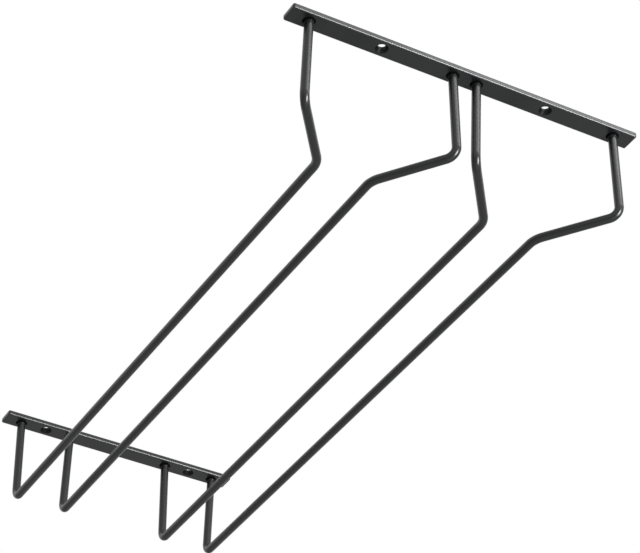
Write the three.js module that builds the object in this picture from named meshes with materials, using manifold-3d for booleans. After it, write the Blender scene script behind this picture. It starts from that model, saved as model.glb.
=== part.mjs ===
// A hanging rack for stemmed glasses: two flat steel straps carry four bent round rods.
// Glasses slide in upside down from the front, their feet resting on a pair of rods per lane.
import * as THREE from "three";
import { mergeVertices } from "three/addons/utils/BufferGeometryUtils.js";
import Module from "manifold-3d";

// All sizes are in millimetres. +Z is up and the open front faces -Y. The origin is the
// middle of the front strap's top face, which lies flat against a shelf or a bar top.

// Flat steel straps, laid across the rack at its front and rear ends
const strapWidth = 12.5;
const strapThickness = 3.4;
const strapEdgeRound = 0.7; // all round edges, as rolled and coated
const strapCornerRadius = 1.2; // corners of the cut ends, seen from above
const frontStrapOverhang = 12.5; // from the axis of an outer post out to the strap's end
const rearStrapOverhang = 11.7;
const strapSpacing = 438; // between the two centrelines

// Countersunk screw holes, one over the middle of each lane in each strap
const screwHoleDiameter = 4.4;
const countersinkDiameter = 7.4;
const countersinkHalfAngle = 45; // degrees
const cutOverrun = 1; // how far a cutter stands out of the faces it opens

// Round rods, two to a lane
const rodDiameter = 5.2; // 5 mm wire under its coat
const lanePitch = 104; // between the middles of the two lanes
const laneGap = 27.4; // clear slot for the stems, between the two rods of a lane
const rodDrop = 60; // from the top face of the straps down to the axis of the long runs
const rearPostSplay = 1; // how far a rear post leans out at the strap
const mouthSpacing = 6.4; // clear space between the two lanes, at the feet of their front posts
const frontPostSplay = 1.7; // how far a front post leans in at the strap
const kinkSetback = 39.7; // from the front strap's centreline back to where the rods flare
const flareRise = 1.8; // from the kink up to the foot of the front post
const rearBendRadius = 6; // bend radii are those of the rod's axis
const kinkBendRadius = 15;
const frontBendRadius = 6.2;

// Fillet welds, one all round each rod end: a slim collar that widens towards the strap
const weldLeg = 0.7; // out along the strap
const weldHeight = 1.6; // down along the rod
const weldToe = 0.2; // thickness where the bead ends on the rod
const weldHollow = 0.08; // depth of the bead's hollow face, across its middle
const weldClearance = 0.05; // between the bead and the rod that it wraps

// Facet counts
const rodSides = 24;
const bendSteps = 10; // in a right-angled bend
const cornerSteps = 4;
const edgeRoundSteps = 3;
const holeSides = 40;
const weldFaceSteps = 4;

const steelFinish = { color: 0x2b2c2e, roughness: 0.42, metalness: 0.35 };
const weldFinish = { color: 0x232425, roughness: 0.5, metalness: 0.35 };

const wasm = await Module();
wasm.setup();

const rodRadius = rodDiameter / 2;
const strapUnderside = -strapThickness;
const laneCentres = [-lanePitch / 2, lanePitch / 2];

// How far the axis of a rod lies from the middle of its lane, along the run and at the mouth
const runOffset = laneGap / 2 + rodRadius;
const mouthOffset = lanePitch / 2 - mouthSpacing / 2 - rodRadius;
const frontPostOffset = mouthOffset - frontPostSplay;
const rearPostOffset = runOffset + rearPostSplay;
const frontStrapLength = lanePitch + 2 * (frontPostOffset + frontStrapOverhang);
const rearStrapLength = lanePitch + 2 * (rearPostOffset + rearStrapOverhang);

// Turns a closed three.js geometry into a solid that can be cut
function toSolid(geometry) {
  const bare = geometry.clone();
  bare.deleteAttribute("normal");
  bare.deleteAttribute("uv");
  const merged = mergeVertices(bare);
  return new wasm.Manifold(new wasm.Mesh({
    numProp: 3,
    vertProperties: new Float32Array(merged.attributes.position.array),
    triVerts: new Uint32Array(merged.index.array),
  }));
}

function toGeometry(solid) {
  const mesh = solid.getMesh();
  const geometry = new THREE.BufferGeometry();
  geometry.setAttribute("position", new THREE.BufferAttribute(mesh.vertProperties, 3));
  geometry.setIndex(new THREE.BufferAttribute(mesh.triVerts, 1));
  geometry.computeVertexNormals();
  return geometry;
}

function namedMesh(name, geometry, finish) {
  const mesh = new THREE.Mesh(geometry, new THREE.MeshStandardMaterial(finish));
  mesh.name = name;
  return mesh;
}

// A rectangle about the origin with rounded corners
function roundedRectangle(length, width, radius) {
  const corners = [[1, 1], [-1, 1], [-1, -1], [1, -1]];
  const points = corners.flatMap(([sideX, sideY], quarter) => {
    const centreX = sideX * (length / 2 - radius);
    const centreY = sideY * (width / 2 - radius);
    return Array.from({ length: cornerSteps + 1 }, (_, step) => {
      const angle = (quarter + step / cornerSteps) * Math.PI / 2;
      return new THREE.Vector2(centreX + radius * Math.cos(angle), centreY + radius * Math.sin(angle));
    });
  });
  return new THREE.Shape(points);
}

// The drill and countersink of one screw hole, upright on its axis, with the strap's top at 0.
// The cone opens downwards, because the screws go up into the shelf from below.
function screwHoleCutter() {
  const holeRadius = screwHoleDiameter / 2;
  const rimRadius = countersinkDiameter / 2;
  const slope = Math.tan(THREE.MathUtils.degToRad(countersinkHalfAngle));
  const coneDepth = (rimRadius - holeRadius) / slope;
  const profile = [
    new THREE.Vector2(0, strapUnderside - cutOverrun),
    new THREE.Vector2(rimRadius + cutOverrun * slope, strapUnderside - cutOverrun),
    new THREE.Vector2(holeRadius, strapUnderside + coneDepth),
    new THREE.Vector2(holeRadius, cutOverrun),
    new THREE.Vector2(0, cutOverrun),
  ];
  return new THREE.LatheGeometry(profile, holeSides).rotateX(Math.PI / 2);
}

// A flat strap with its top face at Z = 0, long edges and ends rounded, and a hole over each lane
function strapGeometry(length) {
  const outline = roundedRectangle(length, strapWidth, strapCornerRadius);
  const blank = new THREE.ExtrudeGeometry(outline, {
    depth: strapThickness - 2 * strapEdgeRound,
    bevelThickness: strapEdgeRound,
    bevelSize: strapEdgeRound,
    bevelOffset: -strapEdgeRound,
    bevelSegments: edgeRoundSteps,
  });
  blank.translate(0, 0, strapEdgeRound - strapThickness);
  const holes = laneCentres.map((x) => toSolid(screwHoleCutter().translate(x, 0, 0)));
  return toGeometry(holes.reduce((strap, hole) => strap.subtract(hole), toSolid(blank)));
}

// Places and directions along a bend that joins two straight legs at a corner
function bendStations(before, corner, after, radius) {
  const into = corner.clone().sub(before).normalize();
  const outOf = after.clone().sub(corner).normalize();
  const turn = into.angleTo(outOf);
  const inward = outOf.clone().addScaledVector(into, -into.dot(outOf)).normalize();
  const start = corner.clone().addScaledVector(into, -radius * Math.tan(turn / 2));
  const centre = start.clone().addScaledVector(inward, radius);
  const steps = Math.ceil(bendSteps * turn / (Math.PI / 2));
  return Array.from({ length: steps + 1 }, (_, step) => {
    const angle = turn * step / steps;
    const point = centre.clone();
    point.addScaledVector(inward, -radius * Math.cos(angle));
    point.addScaledVector(into, radius * Math.sin(angle));
    const tangent = into.clone().multiplyScalar(Math.cos(angle));
    tangent.addScaledVector(inward, Math.sin(angle));
    return { point, tangent };
  });
}

// A curve that is known at its stations, so that straight legs take one step and bends take many
class StationCurve extends THREE.Curve {
  constructor(stations) {
    super();
    this.stations = stations;
  }

  stationAt(share) {
    return this.stations[Math.round(share * (this.stations.length - 1))];
  }

  getPointAt(share, target = new THREE.Vector3()) {
    return target.copy(this.stationAt(share).point);
  }

  getTangentAt(share, target = new THREE.Vector3()) {
    return target.copy(this.stationAt(share).tangent);
  }
}

// Where a rod's axis has its ends and corners: rear end, rear bend, kink, front bend, front end.
// A rod stands on one side of its lane, and outward is +1 or -1 along X.
function rodCorners(laneX, outward) {
  const runX = laneX + outward * runOffset;
  return [
    new THREE.Vector3(laneX + outward * rearPostOffset, strapSpacing, strapUnderside),
    new THREE.Vector3(runX, strapSpacing, -rodDrop),
    new THREE.Vector3(runX, kinkSetback, -rodDrop),
    new THREE.Vector3(laneX + outward * mouthOffset, 0, flareRise - rodDrop),
    new THREE.Vector3(laneX + outward * frontPostOffset, 0, strapUnderside),
  ];
}

// A round rod bent three times. Its ends are cut level, flat against the straps.
function rodGeometry(corners) {
  const [rearEnd, rearCorner, kink, frontCorner, frontEnd] = corners;
  const down = new THREE.Vector3(0, 0, -1);
  const up = new THREE.Vector3(0, 0, 1);
  const stations = [
    { point: rearEnd, tangent: down },
    ...bendStations(rearEnd, rearCorner, kink, rearBendRadius),
    ...bendStations(rearCorner, kink, frontCorner, kinkBendRadius),
    ...bendStations(kink, frontCorner, frontEnd, frontBendRadius),
    { point: frontEnd, tangent: up },
  ];
  const section = Array.from({ length: rodSides }, (_, side) => {
    const angle = side / rodSides * 2 * Math.PI;
    return new THREE.Vector2(rodRadius * Math.cos(angle), rodRadius * Math.sin(angle));
  });
  return new THREE.ExtrudeGeometry(new THREE.Shape(section), {
    steps: stations.length - 1,
    extrudePath: new StationCurve(stations),
  });
}

// The bead of weld round a rod end, hanging from Z = 0, with a hollow face from strap to rod
function weldGeometry() {
  const innerRadius = rodRadius / Math.cos(Math.PI / rodSides) + weldClearance;
  const top = new THREE.Vector2(innerRadius + weldLeg, 0);
  const toe = new THREE.Vector2(innerRadius + weldToe, -weldHeight);
  const face = toe.clone().sub(top);
  const intoBead = new THREE.Vector2(face.y, -face.x).normalize();
  const facePoints = Array.from({ length: weldFaceSteps + 1 }, (_, step) => {
    const share = step / weldFaceSteps;
    const point = top.clone().addScaledVector(face, share);
    return point.addScaledVector(intoBead, weldHollow * Math.sin(Math.PI * share));
  });
  const profile = [
    new THREE.Vector2(innerRadius, -weldHeight),
    ...facePoints.reverse(),
    new THREE.Vector2(innerRadius, 0),
    new THREE.Vector2(innerRadius, -weldHeight),
  ];
  return new THREE.LatheGeometry(profile, rodSides).rotateX(Math.PI / 2);
}

const rack = new THREE.Group();

const frontStrap = namedMesh("front_strap", strapGeometry(frontStrapLength), steelFinish);
const rearStrap = namedMesh("rear_strap", strapGeometry(rearStrapLength), steelFinish);
rearStrap.position.y = strapSpacing;
rack.add(frontStrap, rearStrap);

// The rods from left to right, seen from the front
const rods = [
  { place: "left_outer", lane: 0, outward: -1 },
  { place: "left_inner", lane: 0, outward: 1 },
  { place: "right_inner", lane: 1, outward: -1 },
  { place: "right_outer", lane: 1, outward: 1 },
];

for (const { place, lane, outward } of rods) {
  const corners = rodCorners(laneCentres[lane], outward);
  const ends = { rear: corners.at(0), front: corners.at(-1) };
  rack.add(namedMesh(`rod_${place}`, rodGeometry(corners), steelFinish));
  for (const [end, point] of Object.entries(ends)) {
    const weld = namedMesh(`weld_${end}_${place}`, weldGeometry(), weldFinish);
    weld.position.copy(point);
    rack.add(weld);
  }
}

export default rack;
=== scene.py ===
# Looks of a hanging rack for stemmed glasses: two drilled flat straps, four bent rods and
# eight weld beads, all under one satin black powder coat. Everything is in metres, in the
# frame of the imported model: +Z up, the open mouths towards -Y, the shelf's face at Z = 0.
import math

import bmesh
import bpy
from mathutils import Matrix, Vector
from mathutils.geometry import tessellate_polygon


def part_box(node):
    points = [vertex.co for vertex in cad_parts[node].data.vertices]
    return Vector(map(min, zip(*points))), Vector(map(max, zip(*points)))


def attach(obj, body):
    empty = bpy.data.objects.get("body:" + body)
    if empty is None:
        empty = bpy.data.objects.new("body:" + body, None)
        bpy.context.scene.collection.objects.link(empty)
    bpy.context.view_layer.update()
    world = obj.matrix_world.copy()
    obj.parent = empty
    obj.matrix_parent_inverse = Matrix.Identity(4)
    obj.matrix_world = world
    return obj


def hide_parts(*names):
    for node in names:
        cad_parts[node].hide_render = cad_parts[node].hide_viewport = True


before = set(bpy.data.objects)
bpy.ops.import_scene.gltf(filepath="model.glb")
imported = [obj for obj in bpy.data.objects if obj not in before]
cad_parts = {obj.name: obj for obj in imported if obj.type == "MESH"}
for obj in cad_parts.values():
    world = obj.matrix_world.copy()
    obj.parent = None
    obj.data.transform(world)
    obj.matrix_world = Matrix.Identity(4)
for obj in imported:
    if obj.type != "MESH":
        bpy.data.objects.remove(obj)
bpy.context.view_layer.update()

# Straps. Two bars of flat mild steel, rolled with soft edges and sheared to length.
# Each is drilled and countersunk from below over the middle of each lane, so that wood
# screws go up into the shelf. The rods are welded to their undersides.

MM = 0.001
lane_pitch = 104 * MM  # between the middles of the two lanes
strap_edge_round = 1.0 * MM
strap_corner_radius = 1.2 * MM
screw_hole_radius = 2.2 * MM
countersink_radius = 3.7 * MM
hole_rim_round = 0.2 * MM  # the coat rounds off every drilled edge
hole_places = (-lane_pitch / 2, lane_pitch / 2)
hole_shade_and_dryness = 0.65  # how far the coat inside a hole goes matt and dark with painted shade
edge_steps = 6
corner_steps = 8
hole_sides = 72
rim_steps = 4

# The powder coat is alike on every piece; its dimples, grain and painted hollow shade differ
coat_deep, coat_pale, coat_edge = "#0f1011", "#141517", "#1b1c1e"
coat_roughness = (0.5, 0.64)  # of the body, from its smoothest patches to its roughest
coat_body_gloss = 0.03  # the body itself hardly mirrors at all
mottle_size = 17 * MM
patch_size = 6 * MM
noise_span = (0.3, 0.7)  # where nearly all of a noise lies
skin_share = 0.85  # how much of the surface the clear skin covers
skin_roughness = 0.29
skin_dimples = 0.05  # how much of the dimples still shows in the skin
# Painted shade: the near black that hollows and corners are darkened to
hollow_shade_colour = "#040404"
hollow_roughness = 0.9


def linear(hex_colour):
    """The linear colour of an sRGB hex value."""
    values = [int(hex_colour[i:i + 2], 16) / 255 for i in (1, 3, 5)]
    return [v / 12.92 if v <= 0.04045 else ((v + 0.055) / 1.055) ** 2.4 for v in values] + [1.0]


def add_node(tree, kind, inputs=None, **settings):
    """A node with its settings. What goes into a socket is a value or another node's output.
    A Mix node takes its two numbers at sockets 2 and 3, and its two colours at 6 and 7."""
    node = tree.nodes.new(kind)
    for name, value in settings.items():
        setattr(node, name, value)
    for socket, value in (inputs or {}).items():
        if isinstance(value, bpy.types.NodeSocket):
            tree.links.new(value, node.inputs[socket])
        else:
            node.inputs[socket].default_value = value
    return node


def powder_coat(name, peel_size, peel_depth, grain_size, grain_depth, has_hollow_shade):
    """A coat of fused black powder. Its near-matt body gives the deep black, with a faint
    mottle and a paler tone where it is thin over an edge. The skin of clear resin that rises
    to its surface turns a lamp into soft streaks and spots. Its dimples, the orange peel, and
    the finer grain between them break both up softly. In hollows the coat is thin and matt,
    without the clear skin, and its colour is darkened to near black as painted shade."""
    material = bpy.data.materials.new(name)
    material.use_nodes = True
    tree = material.node_tree
    tree.nodes.clear()
    place = add_node(tree, "ShaderNodeTexCoord").outputs["Object"]

    def noise(size, detail):
        return add_node(tree, "ShaderNodeTexNoise", {
            "Vector": place, "Scale": 1 / size, "Detail": detail, "Roughness": 0.5,
        }).outputs["Fac"]

    colour = add_node(tree, "ShaderNodeMix", {
        0: noise(mottle_size, detail=3), 6: linear(coat_deep), 7: linear(coat_pale),
    }, data_type="RGBA").outputs[2]
    thin = add_node(tree, "ShaderNodeAttribute", attribute_name="edge").outputs["Fac"]
    colour = add_node(tree, "ShaderNodeMix", {
        0: thin, 6: colour, 7: linear(coat_edge),
    }, data_type="RGBA").outputs[2]
    roughness = add_node(tree, "ShaderNodeMapRange", {
        "Value": noise(patch_size, detail=2), "From Min": noise_span[0], "From Max": noise_span[1],
        "To Min": coat_roughness[0], "To Max": coat_roughness[1],
    }).outputs["Result"]
    skin_cover = skin_share
    # Painted shade: in hollows the colour goes to near black, and the coat goes matt without skin
    if has_hollow_shade:
        hollow_shade = add_node(tree, "ShaderNodeAttribute", attribute_name="hollow_shade").outputs["Fac"]
        colour = add_node(tree, "ShaderNodeMix", {
            0: hollow_shade, 6: colour, 7: linear(hollow_shade_colour),
        }, data_type="RGBA").outputs[2]
        roughness = add_node(tree, "ShaderNodeMix", {
            0: hollow_shade, 2: roughness, 3: hollow_roughness,
        }).outputs[0]
        skin_cover = add_node(tree, "ShaderNodeMix", {0: hollow_shade, 2: skin_cover, 3: 0.0}).outputs[0]
    peel = add_node(tree, "ShaderNodeMath", {
        0: noise(peel_size, detail=1), 1: peel_depth,
    }, operation="MULTIPLY").outputs[0]
    height = add_node(tree, "ShaderNodeMath", {
        0: noise(grain_size, detail=2), 1: grain_depth, 2: peel,
    }, operation="MULTIPLY_ADD").outputs[0]
    normal = add_node(tree, "ShaderNodeBump", {
        "Strength": 1.0, "Distance": 1.0, "Height": height,
    }).outputs["Normal"]
    # The clear skin levels itself as it flows, so only a little of the wide dimples shows in it
    skin = add_node(tree, "ShaderNodeBump", {
        "Strength": skin_dimples, "Distance": 1.0, "Height": peel,
    }).outputs["Normal"]
    coat = add_node(tree, "ShaderNodeBsdfPrincipled", {
        "Base Color": colour, "Roughness": roughness, "Normal": normal,
        "IOR": 1.5, "Specular IOR Level": coat_body_gloss,
        "Coat Weight": skin_cover, "Coat Roughness": skin_roughness, "Coat Normal": skin,
    })
    add_node(tree, "ShaderNodeOutputMaterial", {"Surface": coat.outputs["BSDF"]})
    return material


# Satin black powder coat on flat bar: the widest, calmest dimples, because the bar is flat
coat_on_bar = powder_coat(
    "powder_coat_on_flat_bar", peel_size=1.9 * MM, peel_depth=0.010 * MM,
    grain_size=0.4 * MM, grain_depth=0.0015 * MM, has_hollow_shade=True,
)


def plan_ring(length, width, inset):
    """The strap's rounded outline seen from above, drawn in by the inset."""
    radius = strap_corner_radius - inset
    points = []
    for quarter, (side_x, side_y) in enumerate([(1, 1), (-1, 1), (-1, -1), (1, -1)]):
        centre_x = side_x * (length / 2 - strap_corner_radius)
        centre_y = side_y * (width / 2 - strap_corner_radius)
        for step in range(corner_steps + 1):
            angle = (quarter + step / corner_steps) * math.pi / 2
            points.append((
                centre_x + radius * math.cos(angle), centre_y + radius * math.sin(angle),
            ))
    return points


def rounded_line(corners, radii):
    """A line through the corners, each turned into an arc of its own radius."""
    points = [corners[0]]
    for before, corner, after, radius in zip(corners, corners[1:], corners[2:], radii):
        into = (corner - before).normalized()
        out = (after - corner).normalized()
        turn = into.angle(out)
        inward = (out - into * into.dot(out)).normalized()
        start = corner - into * (radius * math.tan(turn / 2))
        for step in range(rim_steps + 1):
            angle = turn * step / rim_steps
            sideways = inward * (radius - radius * math.cos(angle))
            points.append(start + sideways + into * (radius * math.sin(angle)))
    points.append(corners[-1])
    return points


def strap(name, node):
    """A flat bar with rounded edges and countersunk holes, in the place of its CAD node."""
    low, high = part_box(node)
    middle = (low + high) / 2
    length, width, thickness = high - low
    verts, faces, edge_values, hollow_shade_values = [], [], [], []

    def add_ring(points, edge_value, hollow_shade_value):
        first = len(verts)
        verts.extend(points)
        edge_values.extend([edge_value] * len(points))
        hollow_shade_values.extend([hollow_shade_value] * len(points))
        return list(range(first, len(verts)))

    def bridge(ring, following):
        for i in range(len(ring)):
            j = (i + 1) % len(ring)
            faces.append((ring[i], ring[j], following[j], following[i]))

    # Outside: over the top's round edge, down the side and under the bottom's round edge
    rings = []
    for face_z, down in ((0, -1), (-thickness, 1)):
        turned = []
        for step in range(edge_steps + 1):
            angle = math.pi / 2 * step / edge_steps
            inset = strap_edge_round * (1 - math.sin(angle))
            z = face_z + down * strap_edge_round * (1 - math.cos(angle))
            ring = [(middle.x + x, middle.y + y, z) for x, y in plan_ring(length, width, inset)]
            turned.append(add_ring(ring, math.sin(2 * angle), 0.0))
        rings += turned if down < 0 else turned[::-1]
    for ring, following in zip(rings, rings[1:]):
        bridge(ring, following)

    # Holes: over the top's rim, down the drilled part and out along the countersink, with a
    # matt coat and painted shade inside
    # The countersink is cut at 45 degrees, so it is as deep as it is wider than the hole
    cone_top = -thickness + countersink_radius - screw_hole_radius
    profile = rounded_line(
        [Vector((screw_hole_radius + 2 * hole_rim_round, 0)), Vector((screw_hole_radius, 0)),
         Vector((screw_hole_radius, cone_top)), Vector((countersink_radius, -thickness)),
         Vector((countersink_radius + 2 * hole_rim_round, -thickness))],
        [hole_rim_round] * 3,
    )
    top_loops, bottom_loops = [rings[0]], [rings[-1]]
    for place in hole_places:
        hole_rings = []
        for step, (radius, z) in enumerate(profile[1:-1]):
            ring = []
            for side in range(hole_sides):
                angle = 2 * math.pi * side / hole_sides
                ring.append((
                    place + radius * math.cos(angle), middle.y + radius * math.sin(angle), z,
                ))
            inside = 0 < step < len(profile) - 3
            # Painted shade: the rings inside the hole are darkened to near black, with a matt coat
            hole_rings.append(add_ring(ring, 0.0, hole_shade_and_dryness * inside))
        for ring, following in zip(hole_rings, hole_rings[1:]):
            bridge(ring, following)
        top_loops.append(hole_rings[0])
        bottom_loops.append(hole_rings[-1])

    for loops in (top_loops, bottom_loops):
        flat = [i for loop in loops for i in loop]
        outlines = [[Vector(verts[i]) for i in loop] for loop in loops]
        faces.extend(tuple(flat[k] for k in triangle) for triangle in tessellate_polygon(outlines))

    mesh = bpy.data.meshes.new(name)
    mesh.from_pydata(verts, [], faces)
    mesh.attributes.new("edge", "FLOAT", "POINT").data.foreach_set("value", edge_values)
    mesh.attributes.new("hollow_shade", "FLOAT", "POINT").data.foreach_set("value", hollow_shade_values)
    solid = bmesh.new()
    solid.from_mesh(mesh)
    bmesh.ops.recalc_face_normals(solid, faces=solid.faces)
    solid.to_mesh(mesh)
    solid.free()
    mesh.shade_smooth()
    mesh.materials.append(coat_on_bar)
    piece = bpy.data.objects.new(name, mesh)
    bpy.context.scene.collection.objects.link(piece)
    # The big flat faces keep their own normals, and the round edges run out into them
    piece.modifiers.new("flat_faces_stay_flat", "WEIGHTED_NORMAL").weight = 100
    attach(piece, "root")
    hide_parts(node)


strap("flat_strap_front", "front_strap")
strap("flat_strap_rear", "rear_strap")

# Rods. Four lengths of 5 mm round steel wire, each bent three times: down from the rear
# strap, along the lane, out at the kink that opens the mouth, and up to the front strap.

rod_diameter = 5.2 * MM  # with its coat
lane_gap = 27.4 * MM  # clear slot for the stems, between the two rods of a lane
rod_drop = 60 * MM  # from the shelf's face down to the axis of the long runs
rear_post_splay = 1 * MM  # how far a rear post leans out at the strap
mouth_gap = 87.2 * MM  # clear space between the two rods of a lane, at the mouth
front_post_splay = 1.7 * MM  # how far a front post leans in at the strap
kink_setback = 39.7 * MM  # from the front strap's middle back to where the rods flare
flare_rise = 1.8 * MM  # from the kink up to the foot of the front post
strap_spacing = 438 * MM
strap_underside = -3.4 * MM
rear_bend_radius = 6 * MM
kink_radius = 15 * MM
front_bend_radius = 6.2 * MM
rod_sides = 48
bend_steps = 20
rod_sink = 0.15 * MM  # how deep the weld has melted a rod's end into the strap

# Satin black powder coat on drawn wire: it pulls tight round the rod, so its dimples are smaller
coat_on_wire = powder_coat(
    "powder_coat_on_drawn_wire", peel_size=1.3 * MM, peel_depth=0.006 * MM,
    grain_size=0.35 * MM, grain_depth=0.0012 * MM, has_hollow_shade=False,
)


def new_tree(name, inputs):
    """A Geometry Nodes tree with named inputs, each given as its name and kind of socket."""
    tree = bpy.data.node_groups.new(name, "GeometryNodeTree")
    for label, kind in inputs:
        tree.interface.new_socket(label, in_out="INPUT", socket_type=kind)
    tree.interface.new_socket("Geometry", in_out="OUTPUT", socket_type="NodeSocketGeometry")
    return tree, tree.nodes.new("NodeGroupInput").outputs


def made_by(tree, name, values):
    """A plain mesh object of what the tree makes from these values."""
    piece = bpy.data.objects.new(name, bpy.data.meshes.new(name))
    bpy.context.scene.collection.objects.link(piece)
    modifier = piece.modifiers.new(tree.name, "NODES")
    modifier.node_group = tree
    for item in tree.interface.items_tree:
        if item.in_out == "INPUT":
            modifier[item.identifier] = values[item.name]
    graph = bpy.context.evaluated_depsgraph_get()
    mesh = bpy.data.meshes.new_from_object(
        piece.evaluated_get(graph), preserve_all_data_layers=True, depsgraph=graph)
    piece.modifiers.remove(modifier)
    piece.data = mesh
    mesh.name = name
    return piece


def by_index(tree, kind, choices, count):
    """A value for each point of a line by its place in it, with nothing where none is given."""
    switch = add_node(tree, "GeometryNodeIndexSwitch", data_type=kind)
    while len(switch.index_switch_items) < count:
        switch.index_switch_items.new()
    tree.links.new(add_node(tree, "GeometryNodeInputIndex").outputs[0], switch.inputs["Index"])
    for place, value in choices.items():
        tree.links.new(value, switch.inputs[1 + place])
    return switch.outputs[0]


def cornered_line(tree, corners):
    """An open line with sharp corners at the given places."""
    line = add_node(tree, "GeometryNodeMeshLine", {"Count": len(corners)}).outputs[0]
    places = by_index(tree, "VECTOR", dict(enumerate(corners)), len(corners))
    line = add_node(tree, "GeometryNodeSetPosition", {
        "Geometry": line, "Position": places,
    }).outputs[0]
    return add_node(tree, "GeometryNodeMeshToCurve", {"Mesh": line}).outputs[0]


corner_names = ("Rear end", "Rear corner", "Kink corner", "Front corner", "Front end")
radius_names = ("Rear bend radius", "Kink radius", "Front bend radius")
rod_tree, given = new_tree("bent_rod", [
    *((label, "NodeSocketVector") for label in corner_names),
    *((label, "NodeSocketFloat") for label in radius_names),
    ("Rod diameter", "NodeSocketFloat"), ("Sides", "NodeSocketInt"),
    ("Bend steps", "NodeSocketInt"), ("Coat", "NodeSocketMaterial"),
])
line = cornered_line(rod_tree, [given[label] for label in corner_names])
bends = {1 + place: given[label] for place, label in enumerate(radius_names)}
radius = by_index(rod_tree, "FLOAT", bends, len(corner_names))
line = add_node(rod_tree, "GeometryNodeFilletCurve", {
    "Curve": line, "Count": given["Bend steps"], "Radius": radius,
}, mode="POLY").outputs[0]
half = add_node(rod_tree, "ShaderNodeMath", {
    0: given["Rod diameter"], 1: 0.5,
}, operation="MULTIPLY").outputs[0]
section = add_node(rod_tree, "GeometryNodeCurvePrimitiveCircle", {
    "Resolution": given["Sides"], "Radius": half,
}).outputs[0]
rod = add_node(rod_tree, "GeometryNodeCurveToMesh", {
    "Curve": line, "Profile Curve": section, "Fill Caps": True,
}).outputs[0]
rod = add_node(rod_tree, "GeometryNodeRealizeInstances", {"Geometry": rod}).outputs[0]
rod = add_node(rod_tree, "GeometryNodeSetMaterial", {
    "Geometry": rod, "Material": given["Coat"],
}).outputs[0]
add_node(rod_tree, "NodeGroupOutput", {"Geometry": rod})

weld_places = {}
for place, lane_x, outward in (
    ("left_outer", -lane_pitch / 2, -1), ("left_inner", -lane_pitch / 2, 1),
    ("right_inner", lane_pitch / 2, -1), ("right_outer", lane_pitch / 2, 1),
):
    run_x = lane_x + outward * (lane_gap + rod_diameter) / 2
    mouth_x = lane_x + outward * (mouth_gap + rod_diameter) / 2
    corners = [
        Vector((run_x + outward * rear_post_splay, strap_spacing, strap_underside)),
        Vector((run_x, strap_spacing, -rod_drop)),
        Vector((run_x, kink_setback, -rod_drop)),
        Vector((mouth_x, 0, flare_rise - rod_drop)),
        Vector((mouth_x - outward * front_post_splay, 0, strap_underside)),
    ]
    weld_places["rear_" + place] = corners[0]
    weld_places["front_" + place] = corners[4]
    # Melted into the strap by the weld, so that no gap shows at the leaning ends
    sunk = Vector((0, 0, rod_sink))
    piece = made_by(rod_tree, "bent_rod_" + place, {
        "Rear end": corners[0] + sunk, "Rear corner": corners[1], "Kink corner": corners[2],
        "Front corner": corners[3], "Front end": corners[4] + sunk,
        "Rear bend radius": rear_bend_radius, "Kink radius": kink_radius,
        "Front bend radius": front_bend_radius, "Rod diameter": rod_diameter,
        "Sides": rod_sides, "Bend steps": bend_steps, "Coat": coat_on_wire,
    })
    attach(piece, "root")
    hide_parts("rod_" + place)

# Weld beads. One run of filler all round each rod end, melted into rod and strap: a slim
# collar with a wide, thin foot on the strap. It cools in overlapping ripples with a rounded
# lip. Its corner against the strap is matt, and darkened to near black with painted shade.

weld_leg = 1.3 * MM  # out along the strap
weld_height = 1.6 * MM  # down along the rod
weld_lip = 0.08 * MM  # how far the collar's lower end stands out from the rod
weld_throat = (0.22 * MM, 0.45 * MM)  # a place on the collar's face: out from the rod, down
weld_hollow_shade = (0.9 * MM, 0.55 * MM)  # below the strap: where the corner's painted shade starts and is full
weld_sink = 0.12 * MM  # how deep the filler has melted into rod and strap
lip_round = 0.06 * MM
throat_round = 0.25 * MM
ripple_count = 20
ripple_share = 0.07
uneven_share = 0.22
uneven_size = 3 * MM
crisp_angle = 40  # degrees between faces from which an edge stays sharp
seed_step = 7.0  # so far apart that no two beads wander alike
bead_steps = 120
bead_round_steps = 8

# Satin black powder coat over a weld: a coarse, lumpy peel, and painted shade in the corner
coat_on_weld = powder_coat(
    "powder_coat_over_weld", peel_size=0.9 * MM, peel_depth=0.012 * MM,
    grain_size=0.3 * MM, grain_depth=0.0015 * MM, has_hollow_shade=True,
)

section_names = ("Root", "Toe on rod", "Lip", "Throat", "Toe on strap")
round_names = ("Lip round", "Throat round")
bead_tree, given = new_tree("weld_bead", [
    ("Rod end", "NodeSocketVector"), ("Rod diameter", "NodeSocketFloat"),
    *((label, "NodeSocketVector") for label in section_names),
    *((label, "NodeSocketFloat") for label in round_names), ("Ripples", "NodeSocketInt"),
    ("Ripple share", "NodeSocketFloat"), ("Uneven share", "NodeSocketFloat"),
    ("Shade from", "NodeSocketFloat"), ("Shade to", "NodeSocketFloat"),
    ("Seed", "NodeSocketFloat"), ("Steps", "NodeSocketInt"), ("Coat", "NodeSocketMaterial"),
])
half = add_node(bead_tree, "ShaderNodeMath", {
    0: given["Rod diameter"], 1: 0.5,
}, operation="MULTIPLY").outputs[0]
path = add_node(bead_tree, "GeometryNodeCurvePrimitiveCircle", {
    "Resolution": given["Steps"], "Radius": half,
}).outputs[0]
path = add_node(bead_tree, "GeometryNodeSetCurveNormal", {"Curve": path}, mode="Z_UP").outputs[0]
# The section goes from its root in the corner down the rod, round the lip and up to the strap
section = cornered_line(bead_tree, [given[label] for label in section_names])
section = add_node(bead_tree, "GeometryNodeSetSplineCyclic", {
    "Geometry": section, "Cyclic": True,
}).outputs[0]
rounds = {
    section_names.index("Lip"): given["Lip round"],
    section_names.index("Throat"): given["Throat round"],
}
radius = by_index(bead_tree, "FLOAT", rounds, len(section_names))
section = add_node(bead_tree, "GeometryNodeFilletCurve", {
    "Curve": section, "Count": bead_round_steps, "Radius": radius, "Limit Radius": True,
}, mode="POLY").outputs[0]
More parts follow.
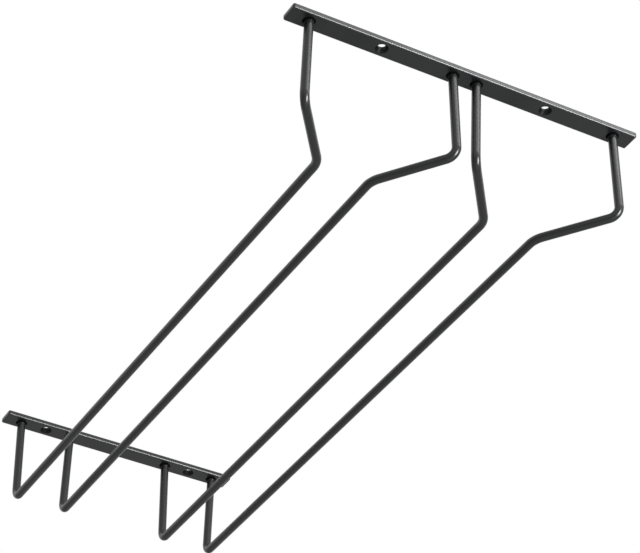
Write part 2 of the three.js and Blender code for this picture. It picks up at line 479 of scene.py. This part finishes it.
# Each ripple swells and pinches the bead, and a slow unevenness wanders round it
factor = add_node(bead_tree, "GeometryNodeSplineParameter").outputs["Factor"]
turn = add_node(bead_tree, "ShaderNodeMath", {
    0: given["Ripples"], 1: math.pi,
}, operation="MULTIPLY").outputs[0]
turn = add_node(bead_tree, "ShaderNodeMath", {0: factor, 1: turn}, operation="MULTIPLY").outputs[0]
ripple = add_node(bead_tree, "ShaderNodeMath", {0: turn}, operation="SINE").outputs[0]
ripple = add_node(bead_tree, "ShaderNodeMath", {0: ripple}, operation="ABSOLUTE").outputs[0]
ripple = add_node(bead_tree, "ShaderNodeMath", {
    0: ripple, 1: given["Ripple share"], 2: 1.0,
}, operation="MULTIPLY_ADD").outputs[0]
where = add_node(bead_tree, "GeometryNodeInputPosition").outputs[0]
wander = add_node(bead_tree, "ShaderNodeTexNoise", {
    "Vector": where, "W": given["Seed"], "Scale": 1 / uneven_size, "Detail": 1.0,
}, noise_dimensions="4D").outputs["Fac"]
wander = add_node(bead_tree, "ShaderNodeMath", {0: wander, 1: -0.5}, operation="ADD").outputs[0]
swell = add_node(bead_tree, "ShaderNodeMath", {
    0: wander, 1: given["Uneven share"], 2: ripple,
}, operation="MULTIPLY_ADD").outputs[0]
bead = add_node(bead_tree, "GeometryNodeCurveToMesh", {
    "Curve": path, "Profile Curve": section, "Scale": swell,
}).outputs[0]
# The sweep leaves its faces turned in, so they are turned out again
bead = add_node(bead_tree, "GeometryNodeFlipFaces", {"Mesh": bead}).outputs[0]
# The corner against the strap is matt and painted dark as shade, over the upper half of the collar
height = add_node(bead_tree, "ShaderNodeSeparateXYZ", {0: where}).outputs["Z"]
hollow_shade = add_node(bead_tree, "ShaderNodeMapRange", {
    "Value": height, "From Min": given["Shade from"], "From Max": given["Shade to"],
    "To Min": 0.0, "To Max": 1.0,
}).outputs[0]
bead = add_node(bead_tree, "GeometryNodeStoreNamedAttribute", {
    "Geometry": bead, "Name": "hollow_shade", "Value": hollow_shade,
}, data_type="FLOAT", domain="POINT").outputs[0]
bead = add_node(bead_tree, "GeometryNodeSetPosition", {
    "Geometry": bead, "Offset": given["Rod end"],
}).outputs[0]
# Only the collar's face and lip are smooth: its toes are crisp against rod and strap
angle = add_node(bead_tree, "GeometryNodeInputMeshEdgeAngle").outputs["Unsigned Angle"]
crisp = add_node(bead_tree, "ShaderNodeMath", {
    0: angle, 1: math.radians(crisp_angle),
}, operation="GREATER_THAN").outputs[0]
bead = add_node(bead_tree, "GeometryNodeSetShadeSmooth", {
    "Geometry": bead, "Selection": crisp, "Shade Smooth": False,
}, domain="EDGE").outputs[0]
bead = add_node(bead_tree, "GeometryNodeRealizeInstances", {"Geometry": bead}).outputs[0]
bead = add_node(bead_tree, "GeometryNodeSetMaterial", {
    "Geometry": bead, "Material": given["Coat"],
}).outputs[0]
add_node(bead_tree, "NodeGroupOutput", {"Geometry": bead})

for seed, (place, rod_end) in enumerate(weld_places.items()):
    piece = made_by(bead_tree, "weld_bead_" + place, {
        "Rod end": rod_end, "Rod diameter": rod_diameter,
        "Root": (-weld_sink, -weld_sink, 0), "Toe on rod": (-weld_sink, weld_height, 0),
        "Lip": (weld_lip, weld_height, 0), "Throat": (*weld_throat, 0),
        "Toe on strap": (weld_leg, -weld_sink, 0), "Lip round": lip_round,
        "Throat round": throat_round, "Ripples": ripple_count, "Ripple share": ripple_share,
        "Uneven share": uneven_share,
        "Shade from": -weld_hollow_shade[0], "Shade to": -weld_hollow_shade[1],
        "Seed": seed * seed_step, "Steps": bead_steps, "Coat": coat_on_weld,
    })
    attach(piece, "root")
    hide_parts("weld_" + place)

# Room. A plain pale floor far below the rack, as in a room where it hangs overhead, and an
# even white surround.

floor_drop = 2.7
floor_reach = 60
floor_lift = 0.2  # how far the floor is lifted to white where it is looked at
surround_light = 0.45  # the surround looks white, and lights the rack as this much of white

floor_mesh = bpy.data.meshes.new("pale_floor")
floor_corners = [
    (x * floor_reach, y * floor_reach, -floor_drop) for x, y in ((-1, -1), (1, -1), (1, 1), (-1, 1))
]
floor_mesh.from_pydata(floor_corners, [], [(0, 1, 2, 3)])
floor = bpy.data.objects.new("pale_floor", floor_mesh)
bpy.context.scene.collection.objects.link(floor)


def seen_as_white(tree):
    """1 for the rays that show the room: those of the camera, of gloss and of glass."""
    path = add_node(tree, "ShaderNodeLightPath")
    seen = add_node(tree, "ShaderNodeMath", {
        0: path.outputs["Is Camera Ray"], 1: path.outputs["Is Glossy Ray"],
    }, operation="MAXIMUM")
    return add_node(tree, "ShaderNodeMath", {
        0: seen.outputs[0], 1: path.outputs["Is Transmission Ray"],
    }, operation="MAXIMUM").outputs[0]


# Matt white floor paint, lifted a little towards the white of the surround where it is looked
# at, so that it reads as pale and even while a shadow still shows on it
paint = bpy.data.materials.new("matt_floor_paint")
paint.use_nodes = True
tree = paint.node_tree
tree.nodes.clear()
matt = add_node(tree, "ShaderNodeBsdfDiffuse", {"Color": linear("#f4f4f4")})
glow = add_node(tree, "ShaderNodeEmission", {"Color": linear("#ffffff"), "Strength": 1.0})
lift = add_node(tree, "ShaderNodeMath", {
    0: seen_as_white(tree), 1: floor_lift,
}, operation="MULTIPLY")
mixed = add_node(tree, "ShaderNodeMixShader", {
    0: lift.outputs[0], 1: matt.outputs[0], 2: glow.outputs[0],
})
add_node(tree, "ShaderNodeOutputMaterial", {"Surface": mixed.outputs[0]})
floor_mesh.materials.append(paint)

world = bpy.data.worlds.new("white_studio")
bpy.context.scene.world = world
world.use_nodes = True
tree = world.node_tree
tree.nodes.clear()
soft = add_node(tree, "ShaderNodeBackground", {
    "Color": linear("#ffffff"), "Strength": surround_light,
})
white = add_node(tree, "ShaderNodeBackground", {"Color": linear("#ffffff"), "Strength": 1.0})
mixed = add_node(tree, "ShaderNodeMixShader", {
    0: seen_as_white(tree), 1: soft.outputs[0], 2: white.outputs[0],
})
add_node(tree, "ShaderNodeOutputWorld", {"Surface": mixed.outputs[0]})

# Light. Three soft boxes at the front. A near key and a near fill above the rack give the
# posts their grey streak and the front strap its sheen. A far, low one draws the bright line
# along the straps' lower edges and the spots on the bends.

# Each box by its place, the point it faces, its width and height, and its power in watts
for name, place, aim, width, height, power in (
    ("key_softbox", (0.27, -0.30, 0.24), (0.27, 0.05, -0.03), 0.30, 0.11, 0.74),
    ("fill_softbox", (0.00, -0.30, 0.24), (0.00, 0.05, -0.03), 0.20, 0.11, 0.27),
    ("low_softbox", (1.20, -2.35, -0.95), (0.00, 0.05, -0.03), 0.75, 1.50, 165),
):
    lamp = bpy.data.lights.new(name, "AREA")
    lamp.shape = "RECTANGLE"
    lamp.size = width
    lamp.size_y = height
    lamp.energy = power
    box = bpy.data.objects.new(name, lamp)
    bpy.context.scene.collection.objects.link(box)
    box.location = place
    box.rotation_mode = "QUATERNION"
    box.rotation_quaternion = (Vector(aim) - Vector(place)).to_track_quat("-Z", "Y")

# Camera. Low at the front left, looking up under the rack, as in the photograph.

camera_place = (-0.58693, -0.92399, -0.92927)
camera_yaw, camera_pitch, camera_roll = 28.411, 35.971, 1.02  # degrees

camera = bpy.data.cameras.new("camera")
camera.lens = 147.84
camera.sensor_width = 36
camera.clip_end = 200
viewer = bpy.data.objects.new("camera", camera)
bpy.context.scene.collection.objects.link(viewer)
viewer.matrix_world = (
    Matrix.Translation(camera_place)
    @ Matrix.Rotation(math.radians(-camera_yaw), 4, "Z")
    @ Matrix.Rotation(math.radians(90 + camera_pitch), 4, "X")
    @ Matrix.Rotation(math.radians(camera_roll), 4, "Z")
)
bpy.context.scene.camera = viewer
bpy.context.scene.view_settings.view_transform = "Standard"
